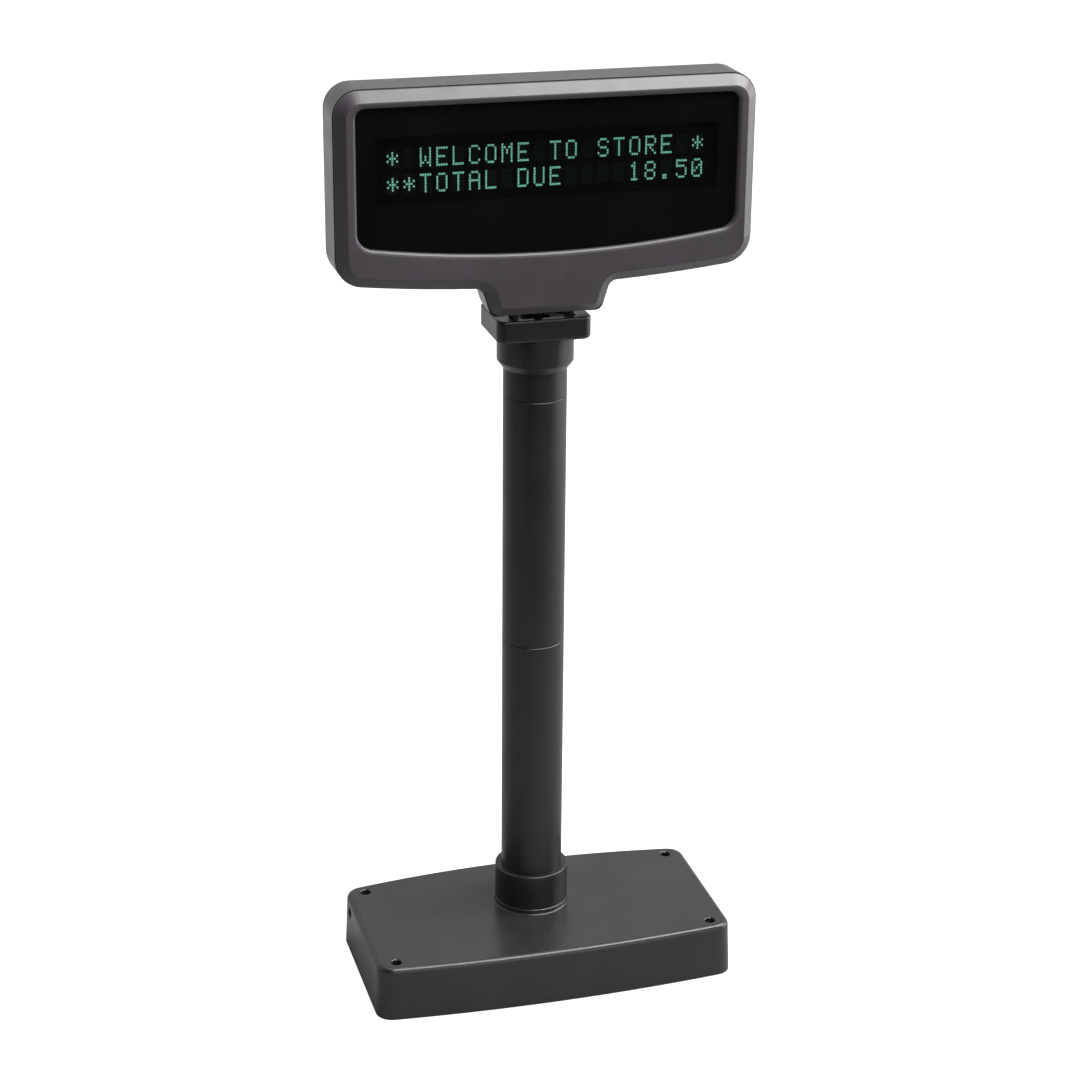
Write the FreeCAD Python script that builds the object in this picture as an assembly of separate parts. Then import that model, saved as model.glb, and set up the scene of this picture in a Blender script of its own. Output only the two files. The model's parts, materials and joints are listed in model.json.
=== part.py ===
"""Customer pole display: weighted base, three-piece pole, swivelling and tilting display head.

Millimetres, +Z up.  The origin is the middle of the base footprint on the counter, the display
faces -Y, and +X is to the right of a customer who reads it.
"""
import FreeCAD, Part
import math
import os

V = FreeCAD.Vector
X_DIR, Y_DIR, Z_DIR = V(1, 0, 0), V(0, 1, 0), V(0, 0, 1)
SIDES = (-1, 1)

# Base
BASE_W = 204.2                # width at the counter
BASE_D = 110.9                # depth over both bowed edges
BASE_TOP = 31.3
BASE_LIFT = 0.6               # the cover's rim stands clear of the counter by this much
BASE_DRAFT = 1.1              # each side leans in by this much up to the top
FRONT_BOW, REAR_BOW = 5.2, 9.0
BASE_CORNER_R, BASE_EDGE_R, BASE_WALL = 9.5, 3.0, 2.5
PLATE_Z0, PLATE_T, BALLAST_T = 1.2, 2.0, 6.0
PLATE_TOP = PLATE_Z0 + PLATE_T
BALLAST_TOP = PLATE_TOP + BALLAST_T
BOLT_X, BOLT_Y, BOLT_MIDDLE_Y, BOLT_R = 90.3, 40.4, -1.9, 2.8
BOSS_R = 4.0
FOOT_X, FOOT_Y, FOOT_R = 74.0, 38.0, 7.0
COVER_SCREWS = ((-60.0, -44.0), (0.0, -44.0), (60.0, -44.0), (-33.0, 45.5), (45.0, 45.5))
SCREW_BOSS_R, SCREW_R = 3.5, 1.25

# Pole
POLE_Y = 9.15                 # the pole stands behind the middle of the base
POLE_R, TUBE_WALL = 17.0, 2.5
TUBE_IN_R = POLE_R - TUBE_WALL
SOCKET_R, SOCKET_TOP, FLANGE_R, FLANGE_T = 20.5, 54.5, 31.0, 3.0
HUB_FOOT_R, HUB_H = 0.8, 3.0  # the low hub that the cover raises round the socket
TUBE_FOOT, SEAM_1, SEAM_2, TUBE_TOP = 24.0, 193.3, 333.4, 363.0
COUPLER_IN_R = 12.3
SEAM_CHAMFER = 0.35
CABLE_R = 2.5

# Interface board, above the ballast in the base's rear left corner
BOARD_Z0, BOARD_T = 13.2, 1.6
BOARD_TOP = BOARD_Z0 + BOARD_T
JACK_Y, JACK_Z, JACK_R = 30.3, 23.8, 3.2
PORT_X, PORT_W, PORT_H = -60.0, 16.0, 13.0
PORT_MOUTH_W, PORT_MOUTH_H = 12.0, 8.6

# Swivel
SPINDLE_R, SPINDLE_IN_R, RUN_CLEAR = 10.0, 7.0, 0.05
BUSH_Z0, THRUST_T = 349.0, 1.0
BUSH_FLANGE_TOP = TUBE_TOP + 1.6
HOLDER_Z0, BLOCK_Z0, BLOCK_TOP = 349.2, 367.5, 379.8
HOLDER_R, HOLDER_RIM_R, HOLDER_TAPER = 20.4, 17.5, 3.9
BLOCK_W, BLOCK_D, BLOCK_R = 50.7, 40.9, 5.0
HOLDER_CEILING = BUSH_FLANGE_TOP + THRUST_T + 0.3
POCKET_Z0, SPINDLE_FLANGE_R, SPINDLE_FLANGE_T = 373.5, 14.0, 2.0
POCKET_FRONT, POCKET_BACK = POLE_Y - 17.0, POLE_Y + 10.0
SWIVEL_LIMIT = 135.0          # degrees either way, set by the stop pin
STOP_RADIUS, STOP_PIN_R = 12.2, 1.2

# Tilt hinge
HINGE_Y, HINGE_Z = POLE_Y - 11.0, 391.5
EAR_R, EAR_T, EAR_X = 5.5, 2.0, 14.0
HINGE_BOLT_R = 2.5
AXIAL_GAP = 0.3               # between the turning yoke and its washers
WASHER_T = 1.2
YOKE_X = EAR_X + EAR_T + WASHER_T + AXIAL_GAP
YOKE_TOP = 432.0
YOKE_PLATE_Y = 6.5
YOKE_SCREWS = ((-12.0, 406.0), (12.0, 406.0), (-12.0, 425.0), (12.0, 425.0))

# Head
HEAD_FRONT, HEAD_REAR = -17.85, 16.0
HEAD_HALF_W, HEAD_TOP, HEAD_BOTTOM = 110.15, 503.75, 398.0
BOTTOM_BOW_R = 836.0
NECK_BOTTOM, NECK_HALF_BOTTOM, NECK_HALF_TOP = 383.3, 29.4, 34.2
NECK_TAPER = 1.2              # the rear shell's neck narrows by this much a side to the rear
TOP_CORNER_R, LOW_CORNER_R, NECK_FILLET_R, NECK_CORNER_R = 13.5, 15.0, 5.0, 4.5
BEZEL_NECK_CORNER_R = 7.5     # rounder, to leave room for the bezel's rounded front edge
SHELL_WALL, SHELL_FRONT, REAR_EDGE_R = 2.2, -11.6, 5.0
BEZEL_INSET, BEZEL_SLOPE, BEZEL_REAR = 0.5, 5.3, -12.0
BEZEL_CREST_R, BEZEL_EDGE_R = 1.0, 0.8
BEZEL_PLATE = 2.4
WIN_HALF_W, WIN_TOP, WIN_BOTTOM, WIN_BOW_R = 99.4, 494.8, 417.2, 630.0
WIN_TOP_R, WIN_LOW_R, WIN_ROUND = 5.0, 8.5, 2.2
FILTER_T, FILTER_LAP = 2.0, 2.4
CASE_SCREWS = ((-85.0, 411.0), (85.0, 411.0), (-45.0, 408.0), (45.0, 408.0))
CASE_SCREW_SEAT, CASE_SCREW_LENGTH = 5.0, 14.0

# Display module
GLASS_W, GLASS_Z0, GLASS_Z1 = 190.0, 440.0, 486.0
GLASS_FRONT, GLASS_T, ANODE_T = -12.35, 6.0, 2.4
PCB_Y0, PCB_T, PCB_HALF_W, PCB_Z0, PCB_Z1 = -0.85, 1.6, 98.0, 432.0, 492.0
PCB_BACK = PCB_Y0 + PCB_T
PCB_SCREWS = ((-94.0, 436.0), (94.0, 436.0), (-94.0, 488.5), (94.0, 488.5))
PLUG_Y, PLUG_Z0, PLUG_Z1 = 3.6, 429.5, 438.0
LEAD_COUNT, LEAD_PITCH = 37, 4.8


def box(x0, x1, y0, y1, z0, z1):
    return Part.makeBox(x1 - x0, y1 - y0, z1 - z0, V(x0, y0, z0))


def post(x, y, z0, z1, radius):
    """A cylinder along Z."""
    return Part.makeCylinder(radius, z1 - z0, V(x, y, z0), Z_DIR)


def rod_x(x0, x1, y, z, radius):
    return Part.makeCylinder(radius, x1 - x0, V(x0, y, z), X_DIR)


def rod_y(x, y0, y1, z, radius):
    return Part.makeCylinder(radius, y1 - y0, V(x, y0, z), Y_DIR)


def ring(z0, z1, outer, inner):
    """A ring round the pole's axis."""
    return post(0, POLE_Y, z0, z1, outer).cut(post(0, POLE_Y, z0, z1, inner))


def fuse(shapes):
    return shapes[0].multiFuse(shapes[1:]).removeSplitter() if len(shapes) > 1 else shapes[0]


def line(a, b):
    return Part.LineSegment(a, b).toShape()


def arc(a, middle, b):
    return Part.Arc(a, middle, b).toShape()


def edges_where(shape, test):
    """Edges whose middle point passes a test."""
    chosen = []
    for edge in shape.Edges:
        middle = edge.valueAt((edge.FirstParameter + edge.LastParameter) / 2)
        if test(edge, middle):
            chosen.append(edge)
    return chosen


def is_along(edge, direction):
    straight = edge.Vertexes[-1].Point.sub(edge.Vertexes[0].Point)
    length = straight.Length
    return length > 1e-6 and abs(straight.dot(direction)) > 0.99 * length


def rounded_box(x0, x1, y0, y1, z0, z1, radius, direction=Z_DIR):
    """A box whose four edges along one direction are rounded."""
    solid = box(x0, x1, y0, y1, z0, z1)
    return solid.makeFillet(radius, edges_where(solid, lambda e, m: is_along(e, direction)))


def cable(points, bend_r):
    """A round cable along straight runs joined by tangent arcs of one radius."""
    edges = []
    start = points[0]
    for corner, after in zip(points[1:-1], points[2:]):
        back = start.sub(corner).normalize()
        ahead = after.sub(corner).normalize()
        reach = bend_r / math.tan(back.getAngle(ahead) / 2)
        into, out = corner + back * reach, corner + ahead * reach
        bisector = (back + ahead).normalize()
        centre = corner + bisector * (bend_r / math.sin(back.getAngle(ahead) / 2))
        edges += [line(start, into), arc(into, centre - bisector * bend_r, out)]
        start = out
    edges.append(line(start, points[-1]))
    path = Part.Wire(edges)
    profile = Part.Wire(Part.makeCircle(CABLE_R, points[0], points[1].sub(points[0])))
    return path.makePipeShell([profile], True, False)


# ---------------------------------------------------------------- base

def base_body(inset, z0, z1):
    """The base's outline, drawn in by an inset, from one height to another with the draft."""
    def outline(z):
        lean = BASE_DRAFT * (z - BASE_LIFT) / (BASE_TOP - BASE_LIFT)
        half_w = BASE_W / 2 - inset - lean
        front, rear = -BASE_D / 2 + inset + lean, BASE_D / 2 - inset - lean
        corners = [V(-half_w, front + FRONT_BOW, z), V(half_w, front + FRONT_BOW, z),
                   V(half_w, rear - REAR_BOW, z), V(-half_w, rear - REAR_BOW, z)]
        return Part.Wire([arc(corners[0], V(0, front, z), corners[1]),
                          line(corners[1], corners[2]),
                          arc(corners[2], V(0, rear, z), corners[3]),
                          line(corners[3], corners[0])])
    solid = Part.makeLoft([outline(z0), outline(z1)], True, True)
    upright = edges_where(solid, lambda e, m: z0 + 0.1 < m.z < z1 - 0.1)
    return solid.makeFillet(BASE_CORNER_R - min(inset, 5.0), upright)


def bolt_places():
    return [(sx * BOLT_X, BOLT_MIDDLE_Y + sy * BOLT_Y) for sx in SIDES for sy in SIDES]


def port_face_y():
    """Where the data port's front stands: just inside the bowed rear wall's outer face."""
    return BASE_D / 2 - REAR_BOW * (PORT_X / (BASE_W / 2)) ** 2 - 1.2


def base_cover():
    outer = base_body(0.0, BASE_LIFT, BASE_TOP)
    top_edges = edges_where(outer, lambda e, m: m.z > BASE_TOP - 0.01)
    outer = outer.makeFillet(BASE_EDGE_R, top_edges)
    shell = outer.cut(base_body(BASE_WALL, BASE_LIFT - 0.5, BASE_TOP - BASE_WALL))
    bosses = [post(x, y, PLATE_TOP, BASE_TOP - BASE_WALL + 0.5, BOSS_R) for x, y in bolt_places()]
    bosses += [post(x, y, PLATE_TOP, BASE_TOP - BASE_WALL + 0.5, SCREW_BOSS_R)
               for x, y in COVER_SCREWS]
    rim, foot = SOCKET_R + 0.7, SOCKET_R + 0.7 + HUB_FOOT_R
    dip = HUB_FOOT_R * (1 - math.sqrt(0.5))
    hub = Part.Wire([line(V(SOCKET_R, 0, BASE_TOP - 0.3), V(foot, 0, BASE_TOP - 0.3)),
                     line(V(foot, 0, BASE_TOP - 0.3), V(foot, 0, BASE_TOP)),
                     arc(V(foot, 0, BASE_TOP), V(rim + dip, 0, BASE_TOP + dip),
                         V(rim, 0, BASE_TOP + HUB_FOOT_R)),
                     line(V(rim, 0, BASE_TOP + HUB_FOOT_R), V(rim, 0, BASE_TOP + HUB_H)),
                     line(V(rim, 0, BASE_TOP + HUB_H), V(SOCKET_R, 0, BASE_TOP + HUB_H)),
                     line(V(SOCKET_R, 0, BASE_TOP + HUB_H), V(SOCKET_R, 0, BASE_TOP - 0.3))])
    collar_hub = Part.Face(hub).revolve(V(0, 0, 0), Z_DIR, 360)
    collar_hub = collar_hub.makeFillet(0.55, edges_where(
        collar_hub, lambda e, m: m.z > BASE_TOP + HUB_H - 0.01 and e.Length > rim * 6.2))
    collar_hub.translate(V(0, POLE_Y, 0))
    shell = fuse([shell] + bosses + [collar_hub])
    port_y = port_face_y()
    cuts = [post(0, POLE_Y, BASE_TOP - 5, BASE_TOP + 5, SOCKET_R + 0.1),
            rod_x(-BASE_W / 2 - 1, -BASE_W / 2 + 6, JACK_Y, JACK_Z, JACK_R + 0.15),
            box(PORT_X - PORT_W / 2 - 0.3, PORT_X + PORT_W / 2 + 0.3, port_y - 8, BASE_D / 2,
                BOARD_TOP - 0.3, BOARD_TOP + PORT_H + 0.3)]
    for x, y in bolt_places():
        cuts.append(post(x, y, 0, BASE_TOP + 1, BOLT_R))
        cuts.append(Part.makeCone(BOLT_R, BOLT_R + 0.5, 0.5, V(x, y, BASE_TOP - 0.5), Z_DIR))
    for x, y in COVER_SCREWS:
        cuts.append(post(x, y, 0, 14.0, SCREW_R))
    for cutter in cuts:
        shell = shell.cut(cutter)
    return shell


def base_plate():
    plate = base_body(BASE_WALL + 0.3, PLATE_Z0, PLATE_TOP)
    for x, y in bolt_places():
        plate = plate.cut(post(x, y, 0, 5, BOLT_R))
    for x, y in COVER_SCREWS:
        plate = plate.cut(post(x, y, 0, 5, SCREW_R))
        plate = plate.cut(Part.makeCone(3.0, SCREW_R, 1.6, V(x, y, PLATE_Z0), Z_DIR))
    return plate


def ballast_plate():
    """A steel slab between the cover's bosses, tapped for the socket and the board."""
    slab = rounded_box(-84, 84, -38.5, 40, PLATE_TOP, BALLAST_TOP, 6)
    for x, y in socket_screw_places():
        slab = slab.cut(post(x, y, PLATE_TOP, 20, 2.0))
    for x, y in board_screw_places():
        slab = slab.cut(post(x, y, BALLAST_TOP - 4, 20, SCREW_R))
    return slab


def rubber_feet():
    feet = []
    for sx in SIDES:
        for sy in SIDES:
            foot = post(sx * FOOT_X, sy * FOOT_Y, 0, PLATE_Z0, FOOT_R)
            feet.append(foot.makeChamfer(0.3, edges_where(foot, lambda e, m: m.z < 0.01)))
    return Part.makeCompound(feet)


def base_screws():
    screws = []
    for x, y in COVER_SCREWS:
        head = Part.makeCone(3.0, SCREW_R, 1.6, V(x, y, PLATE_Z0), Z_DIR)
        slot = box(x - 2.0, x + 2.0, y - 0.4, y + 0.4, PLATE_Z0, PLATE_Z0 + 0.7)
        cross = box(x - 0.4, x + 0.4, y - 2.0, y + 2.0, PLATE_Z0, PLATE_Z0 + 0.7)
        shank = post(x, y, PLATE_Z0 + 1.0, 13.0, SCREW_R)
        screws.append(fuse([head, shank]).cut(slot).cut(cross))
    return Part.makeCompound(screws)


def socket_screw_places():
    reach = (FLANGE_R - 4.6) * math.sqrt(0.5)
    return [(sx * reach, POLE_Y + sy * reach) for sx in SIDES for sy in SIDES]


def pole_socket():
    """The flanged collar that carries the pole, with a slot that lets the cable in."""
    collar = fuse([post(0, POLE_Y, BALLAST_TOP, BALLAST_TOP + FLANGE_T, FLANGE_R),
                   post(0, POLE_Y, BALLAST_TOP, SOCKET_TOP, SOCKET_R)])
    top_edge = edges_where(collar, lambda e, m: m.z > SOCKET_TOP - 0.01)
    collar = collar.makeFillet(0.8, top_edge)
    collar = collar.cut(post(0, POLE_Y, TUBE_FOOT, SOCKET_TOP + 1, POLE_R))
    collar = collar.cut(post(0, POLE_Y, BALLAST_TOP + 2, TUBE_FOOT + 1, TUBE_IN_R))
    slot = box(-SOCKET_R - 1, 0, POLE_Y - 5, POLE_Y + 5, BALLAST_TOP + FLANGE_T, TUBE_FOOT - 1)
    collar = collar.cut(slot)
    for x, y in socket_screw_places():
        collar = collar.cut(post(x, y, 0, 20, 2.0))
    return collar


def pan_screw(x, y, z_seat, shank_r, head_r, head_h, length):
    """An upright screw whose head sits on z_seat and whose shank goes down."""
    head = post(x, y, z_seat, z_seat + head_h, head_r)
    head = head.makeFillet(head_h * 0.4, edges_where(head, lambda e, m: m.z > z_seat + head_h - 0.01))
    drive = fuse([box(x - 0.6 * head_r, x + 0.6 * head_r, y - 0.35, y + 0.35, z_seat + head_h / 2,
                      z_seat + head_h),
                  box(x - 0.35, x + 0.35, y - 0.6 * head_r, y + 0.6 * head_r, z_seat + head_h / 2,
                      z_seat + head_h)])
    return fuse([head.cut(drive), post(x, y, z_seat - length, z_seat + 0.2, shank_r)])


def level_screw(x, y_seat, z, shank_r, head_r, head_h, length, side):
    """A screw along Y: the head stands on the given side of y_seat."""
    screw = pan_screw(0, 0, 0, shank_r, head_r, head_h, length)
    screw.rotate(V(0, 0, 0), X_DIR, -90 if side > 0 else 90)
    screw.translate(V(x, y_seat, z))
    return screw


def socket_screws():
    return Part.makeCompound([pan_screw(x, y, BALLAST_TOP + FLANGE_T, 2.0, 3.6, 2.4, 8.0)
                              for x, y in socket_screw_places()])


# ---------------------------------------------------------------- interface board

def board_screw_places():
    return [(-80.0, 11.5), (-44.0, 36.5)]


def interface_board():
    board = fuse([box(-97, -40, 8, 33.5, BOARD_Z0, BOARD_TOP),
                  box(-82, -40, 33, 42, BOARD_Z0, BOARD_TOP)])
    for x, y in board_screw_places():
        board = board.cut(post(x, y, 0, 20, SCREW_R))
    return board


def board_spacers():
    return Part.makeCompound([post(x, y, BALLAST_TOP, BOARD_Z0, 3.0).cut(post(x, y, 0, 20, SCREW_R))
                              for x, y in board_screw_places()])


def board_screws():
    return Part.makeCompound([pan_screw(x, y, BOARD_TOP, SCREW_R, 2.4, 1.6, 6.0)
                              for x, y in board_screw_places()])


def board_parts():
    """Small chips, a regulator and two capacitors on the interface board."""
    pieces = [box(-74, -64, 14, 20, BOARD_TOP, BOARD_TOP + 1.8),
              box(-60, -53, 13, 19, BOARD_TOP, BOARD_TOP + 1.8),
              box(-72, -66, 24, 30.5, BOARD_TOP, BOARD_TOP + 2.4)]
    pieces += [post(-58, 26, BOARD_TOP, BOARD_TOP + 11, 3.2), post(-50, 27, BOARD_TOP, BOARD_TOP + 9, 3.2)]
    return Part.makeCompound(pieces)


def dc_jack():
    """A barrel jack: its mouth stands in the cover's left wall."""
    mouth_x = -BASE_W / 2 + 1.0
    body = fuse([box(mouth_x + 3.2, mouth_x + 14, JACK_Y - 3.9, JACK_Y + 3.9, BOARD_TOP, JACK_Z + 4.4),
                 rod_x(mouth_x, mouth_x + 4, JACK_Y, JACK_Z, JACK_R)])
    body = body.cut(rod_x(mouth_x - 1, mouth_x + 11, JACK_Y, JACK_Z, 2.75))
    return body.fuse(rod_x(mouth_x + 1.5, mouth_x + 12, JACK_Y, JACK_Z, 1.0)).removeSplitter()


def data_port():
    """An eight-way modular jack in the rear wall."""
    face_y = port_face_y()
    body = box(PORT_X - PORT_W / 2, PORT_X + PORT_W / 2, face_y - 16, face_y, BOARD_TOP,
               BOARD_TOP + PORT_H)
    mouth_z0 = BOARD_TOP + 1.6
    body = body.cut(box(PORT_X - PORT_MOUTH_W / 2, PORT_X + PORT_MOUTH_W / 2, face_y - 14, face_y + 1,
                        mouth_z0, mouth_z0 + PORT_MOUTH_H))
    key = box(PORT_X - 3, PORT_X + 3, face_y - 14, face_y + 1, mouth_z0, mouth_z0 + PORT_MOUTH_H + 1.6)
    return body.cut(key)


def port_contacts():
    """Eight sprung contacts along the jack's floor."""
    face_y = port_face_y()
    floor_z = BOARD_TOP + 1.6
    return Part.makeCompound([box(PORT_X + (i - 3.5) * 1.02 - 0.2, PORT_X + (i - 3.5) * 1.02 + 0.2,
                                  face_y - 13, face_y - 4, floor_z, floor_z + 0.5) for i in range(8)])


def cable_plug_lower():
    return rounded_box(-48, -40.5, POLE_Y - 4.5, POLE_Y + 4.5, BOARD_TOP, BOARD_TOP + 8.5, 0.8, X_DIR)


# ---------------------------------------------------------------- pole

def tube(z0, z1, chamfer_low, chamfer_high):
    outer = post(0, POLE_Y, z0, z1, POLE_R)
    ends = edges_where(outer, lambda e, m: (chamfer_low and m.z < z0 + 0.01)
                       or (chamfer_high and m.z > z1 - 0.01))
    outer = outer.makeChamfer(SEAM_CHAMFER, [e for e in ends if e.Length > POLE_R * 4])
    return outer.cut(post(0, POLE_Y, z0 - 1, z1 + 1, TUBE_IN_R))


def coupler(z0, z1):
    sleeve = ring(z0, z1, TUBE_IN_R, COUPLER_IN_R)
    rims = edges_where(sleeve, lambda e, m: e.Length > TUBE_IN_R * 6
                       and abs(math.hypot(m.x, m.y - POLE_Y) - TUBE_IN_R) < 0.01)
    return sleeve.makeChamfer(0.8, rims)


def pole_cable():
    floor_z = BOARD_TOP + 4.5
    return cable([V(-40.5, POLE_Y, floor_z), V(0, POLE_Y, floor_z), V(0, POLE_Y, BUSH_Z0 - 12)], 11.0)


# ---------------------------------------------------------------- swivel

def swivel_bush():
    """A plain bush pressed into the top tube, with a flange over the tube's end."""
    bush = fuse([ring(BUSH_Z0, TUBE_TOP, TUBE_IN_R, SPINDLE_R + RUN_CLEAR),
                 ring(TUBE_TOP, BUSH_FLANGE_TOP, POLE_R, SPINDLE_R + RUN_CLEAR)])
    return bush.cut(post(0, POLE_Y + STOP_RADIUS, BUSH_Z0 - 1, BUSH_Z0 + 6, STOP_PIN_R))


def stop_pin():
    return post(0, POLE_Y + STOP_RADIUS, BUSH_Z0 - 2.2, BUSH_Z0 + 6, STOP_PIN_R)


def thrust_washer():
    return ring(BUSH_FLANGE_TOP, BUSH_FLANGE_TOP + THRUST_T, 16.0, SPINDLE_R + 0.4)


def stop_washer():
    """Turns with the spindle; its wide tab meets the stop pin at both ends of the swivel."""
    z0, z1 = BUSH_Z0 - 2.65, BUSH_Z0 - 0.65
    pin_angle = math.degrees(math.asin(STOP_PIN_R / STOP_RADIUS))
    tab_half = 180.0 - SWIVEL_LIMIT - pin_angle - 1.0
    tab = Part.makeCylinder(13.6, z1 - z0, V(0, POLE_Y, z0), Z_DIR, 2 * tab_half)
    tab.rotate(V(0, POLE_Y, 0), Z_DIR, -90.0 - tab_half)
    washer = fuse([post(0, POLE_Y, z0, z1, 10.9), tab])
    return washer.cut(post(0, POLE_Y, z0 - 1, z1 + 1, SPINDLE_R))


def retaining_ring():
    clip = ring(BUSH_Z0 - 3.7, BUSH_Z0 - 2.8, 11.6, 9.2)
    return clip.cut(box(-2.5, 2.5, POLE_Y, POLE_Y + 15, BUSH_Z0 - 5, BUSH_Z0))


def swivel_spindle():
    """The hollow shaft under the holder; the cable passes through it."""
    shaft = fuse([ring(BUSH_Z0 - 4.8, POCKET_Z0, SPINDLE_R, SPINDLE_IN_R),
                  ring(POCKET_Z0 - SPINDLE_FLANGE_T, POCKET_Z0, SPINDLE_FLANGE_R, SPINDLE_IN_R)])
    groove = ring(BUSH_Z0 - 3.7, BUSH_Z0 - 2.8, SPINDLE_R + 1, 9.2)
    return shaft.cut(groove)


def bracket_screw_places():
    """Two in front of the spindle's flange and two behind it."""
    return [(sx * x, POLE_Y + y) for sx in SIDES for x, y in ((9.0, -13.7), (14.3, 7.0))]


def swivel_holder():
    """The moulded collar and block that turn on the pole's top."""
    taper_top = HOLDER_Z0 + HOLDER_TAPER
    collar = fuse([Part.makeCone(HOLDER_RIM_R, HOLDER_R, HOLDER_TAPER, V(0, POLE_Y, HOLDER_Z0), Z_DIR),
                   post(0, POLE_Y, taper_top, BLOCK_Z0 + 3, HOLDER_R)])
    block = rounded_box(-BLOCK_W / 2, BLOCK_W / 2, POLE_Y - BLOCK_D / 2, POLE_Y + BLOCK_D / 2,
                        BLOCK_Z0, BLOCK_TOP, BLOCK_R)
    block = block.makeFillet(1.1, edges_where(block, lambda e, m: m.z > BLOCK_TOP - 0.01))
    block = block.makeFillet(2.0, edges_where(block, lambda e, m: m.z < BLOCK_Z0 + 0.01))
    body = fuse([collar, block])
    body = body.cut(post(0, POLE_Y, HOLDER_Z0 - 1, HOLDER_CEILING, POLE_R + RUN_CLEAR))
    body = body.cut(post(0, POLE_Y, HOLDER_Z0, BLOCK_TOP, SPINDLE_R))
    body = body.cut(post(0, POLE_Y, POCKET_Z0 - SPINDLE_FLANGE_T, BLOCK_TOP, SPINDLE_FLANGE_R))
    body = body.cut(rounded_box(-17.4, 17.4, POCKET_FRONT, POCKET_BACK, POCKET_Z0, BLOCK_TOP + 1, 1.5))
    for x, y in bracket_screw_places():
        body = body.cut(post(x, y, POCKET_Z0 - 6, POCKET_Z0 + 1, 1.5))
    return body


def tilt_bracket():
    """The bent plate in the holder's pocket, with an ear for each hinge bolt."""
    plate = rounded_box(-17.0, 17.0, POCKET_FRONT + 0.4, POCKET_BACK - 0.4,
                        POCKET_Z0, POCKET_Z0 + EAR_T, 1.5)
    pieces = [plate]
    for side in SIDES:
        x0, x1 = sorted((side * EAR_X, side * (EAR_X + EAR_T)))
        pieces.append(box(x0, x1, HINGE_Y - EAR_R, HINGE_Y + EAR_R, POCKET_Z0, HINGE_Z))
        pieces.append(rod_x(x0, x1, HINGE_Y, HINGE_Z, EAR_R))
    bracket = fuse(pieces)
    bracket = bracket.cut(post(0, POLE_Y, POCKET_Z0 - 1, POCKET_Z0 + 5, 8.0))
    bracket = bracket.cut(rod_x(-30, 30, HINGE_Y, HINGE_Z, HINGE_BOLT_R))
    for x, y in bracket_screw_places():
        bracket = bracket.cut(post(x, y, POCKET_Z0 - 1, POCKET_Z0 + 5, 1.5))
    return bracket


def bracket_screws():
    return Part.makeCompound([pan_screw(x, y, POCKET_Z0 + EAR_T, 1.5, 2.5, 2.0, 7.6)
                              for x, y in bracket_screw_places()])


def mirrored_pair(right):
    return Part.makeCompound([right, right.mirror(V(0, 0, 0), X_DIR)])


def hinge_bolts():
    head_x = YOKE_X + EAR_T + AXIAL_GAP + WASHER_T
    bolt = fuse([rod_x(EAR_X - 5.5, head_x + 0.2, HINGE_Y, HINGE_Z, HINGE_BOLT_R),
                 rod_x(head_x, head_x + 3.0, HINGE_Y, HINGE_Z, 4.2)])
    socket = Part.makePolygon([V(head_x + 1.2, HINGE_Y + 2 * math.cos(a), HINGE_Z + 2 * math.sin(a))
                               for a in [math.radians(60 * i) for i in range(7)]])
    return mirrored_pair(bolt.cut(Part.Face(socket).extrude(V(3, 0, 0))))


def hinge_nuts():
    flats = Part.makePolygon([V(EAR_X - 4.5, HINGE_Y + 4.6 * math.cos(a), HINGE_Z + 4.6 * math.sin(a))
                              for a in [math.radians(60 * i) for i in range(7)]])
    nut = Part.Face(flats).extrude(V(4.5, 0, 0))
    return mirrored_pair(nut.cut(rod_x(0, 30, HINGE_Y, HINGE_Z, HINGE_BOLT_R)))


def washer_pair(x0):
    washer = rod_x(x0, x0 + WASHER_T, HINGE_Y, HINGE_Z, 5.2)
    return mirrored_pair(washer.cut(rod_x(0, 40, HINGE_Y, HINGE_Z, HINGE_BOLT_R)))


def neck_cable():
    """Up the middle of the spindle, then a little forward to the plug in front of the yoke."""
    return cable([V(0, POLE_Y, BUSH_Z0 - 12), V(0, POLE_Y, BUSH_Z0 + 7), V(0, PLUG_Y, HINGE_Z - 5),
                  V(0, PLUG_Y, PLUG_Z0)], 12.0)


# ---------------------------------------------------------------- head

def bowed_z(x, lowest, bow_r):
    """Height of a wide arc that is lowest in the middle."""
    return lowest + bow_r - math.sqrt(bow_r ** 2 - x ** 2)


def rounded_outline(edges, radius_at):
    """Round the corners of a closed outline in the plane y = 0 and give the rounded wire."""
    solid = Part.Face(Part.Wire(edges)).extrude(Y_DIR)
    for edge_point, radius in radius_at:
        near = edges_where(solid, lambda e, m: is_along(e, Y_DIR)
                           and math.hypot(m.x - edge_point.x, m.z - edge_point.z) < 0.5)
        solid = solid.makeFillet(radius, near)
    for face in solid.Faces:
        if face.BoundBox.YMax < 0.001:
            return face.OuterWire
    raise ValueError("the outline has no front face")


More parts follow.
